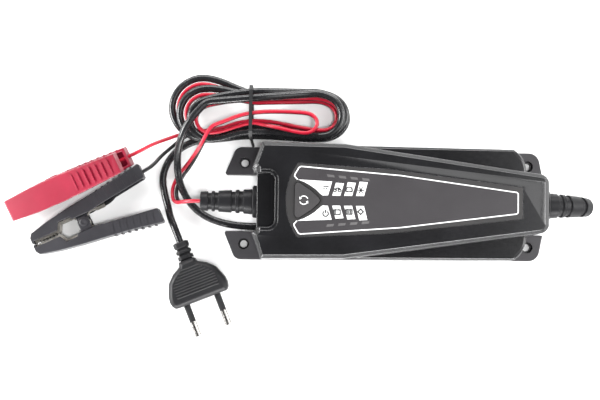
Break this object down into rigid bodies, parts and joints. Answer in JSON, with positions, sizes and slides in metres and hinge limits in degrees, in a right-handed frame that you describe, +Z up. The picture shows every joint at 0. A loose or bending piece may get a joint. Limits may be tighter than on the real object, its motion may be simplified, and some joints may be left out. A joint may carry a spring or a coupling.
{
  "type": "car battery charger",
  "caption": "Flat sealed battery charger with a tapered raised cover, mounting ears, a mode key with lamps, a mains plug lead and a lead with two sprung battery clamps",
  "frame": {"origin": "centre of the underside of the case with its ears, which is the middle of the bounding box of everything but the leads, at floor height", "axes": "+X along the case from the battery lead's gland to the mains lead's gland, +Y across the case, +Z up through the cover"},
  "size_m": [0.3403, 0.1533, 0.0425],
  "materials": {
    "aluminium": "plain aluminium",
    "black_clamp": "black moulded insulation",
    "black_wire": "black PVC insulation",
    "board": "green circuit board",
    "can": "sleeved capacitor can",
    "case_plastic": "fine satin moulding, charcoal black",
    "clear_plastic": "clear light pipe",
    "component": "moulded component",
    "copper": "yellow winding tape",
    "ferrite": "sintered ferrite",
    "gland_rubber": "matte black strain relief",
    "key_plastic": "grey rubberised key",
    "label": "printed label film, dark grey",
    "led": "lamp body",
    "mains_sheath": "black PVC sheath",
    "pin_metal": "nickel-plated brass",
    "pin_sleeve": "black insulating sleeve",
    "plated_steel": "plated pressed steel",
    "plug_plastic": "black PVC plug",
    "red_clamp": "red moulded insulation",
    "red_wire": "red PVC insulation",
    "seal": "foam cord seal",
    "spring_steel": "spring wire"
  },
  "bodies": {
    "charger": {"battery_lead_hank": "red_wire", "black_clamp_fixed_arm": "black_clamp", "black_clamp_fixed_jaw": "plated_steel", "black_clamp_hinge_pin": "plated_steel", "black_clamp_torsion_spring": "spring_steel", "black_clamp_wire_crimp": "plated_steel", "board_screws": "plated_steel", "cable_tie": "black_wire", "case_gasket": "seal", "case_screws": "plated_steel", "circuit_board": "board", "heat_sink": "aluminium", "indicator_leds": "led", "input_choke": "ferrite", "label_panel": "label", "light_pipes": "clear_plastic", "lower_case": "case_plastic", "mains_capacitor": "can", "mains_fuse": "component", "mains_gland": "gland_rubber", "mains_lead_end": "mains_sheath", "mains_lead_hank": "mains_sheath", "mains_lead_start": "mains_sheath", "mode_switch": "component", "negative_lead_end": "black_wire", "negative_lead_start": "black_wire", "output_capacitors": "can", "output_gland": "gland_rubber", "panel_board": "board", "plug_body": "plug_plastic", "plug_pin_sleeves": "pin_sleeve", "plug_pins": "pin_metal", "positive_lead_end": "red_wire", "positive_lead_start": "red_wire", "power_transistors": "component", "red_clamp_fixed_arm": "red_clamp", "red_clamp_fixed_jaw": "plated_steel", "red_clamp_hinge_pin": "plated_steel", "red_clamp_torsion_spring": "spring_steel", "red_clamp_wire_crimp": "plated_steel", "relay": "component", "transformer_core": "ferrite", "transformer_winding": "copper", "upper_case": "case_plastic"},
    "mode_button": {"mode_button": "key_plastic"},
    "red_clamp_lever": {"red_clamp_moving_arm": "red_clamp", "red_clamp_moving_jaw": "plated_steel"},
    "black_clamp_lever": {"black_clamp_moving_arm": "black_clamp", "black_clamp_moving_jaw": "plated_steel"}
  },
  "joints": [
    {"name": "mode_key_press", "type": "slide", "parent": "charger", "child": "mode_button", "axis": [0, 0, -1], "range_m": [0, 0.0008], "stiffness_N_per_m": 1500, "springref_m": -0.0005},
    {"name": "red_clamp_hinge", "type": "hinge", "parent": "charger", "child": "red_clamp_lever", "pos_m": [-0.1873, 0.0065, 0.01321], "axis": [-0.4265, 0.8912, 0.1541], "range_deg": [0, 24], "stiffness_Nm_per_rad": 0.5, "springref_deg": -28.65, "deforming": ["red_clamp_torsion_spring"]},
    {"name": "black_clamp_hinge", "type": "hinge", "parent": "charger", "child": "black_clamp_lever", "pos_m": [-0.1725, -0.0128, 0.0075], "axis": [0, 0, 1], "range_deg": [0, 24], "stiffness_Nm_per_rad": 0.5, "springref_deg": -28.65, "deforming": ["black_clamp_torsion_spring"]}
  ]
}
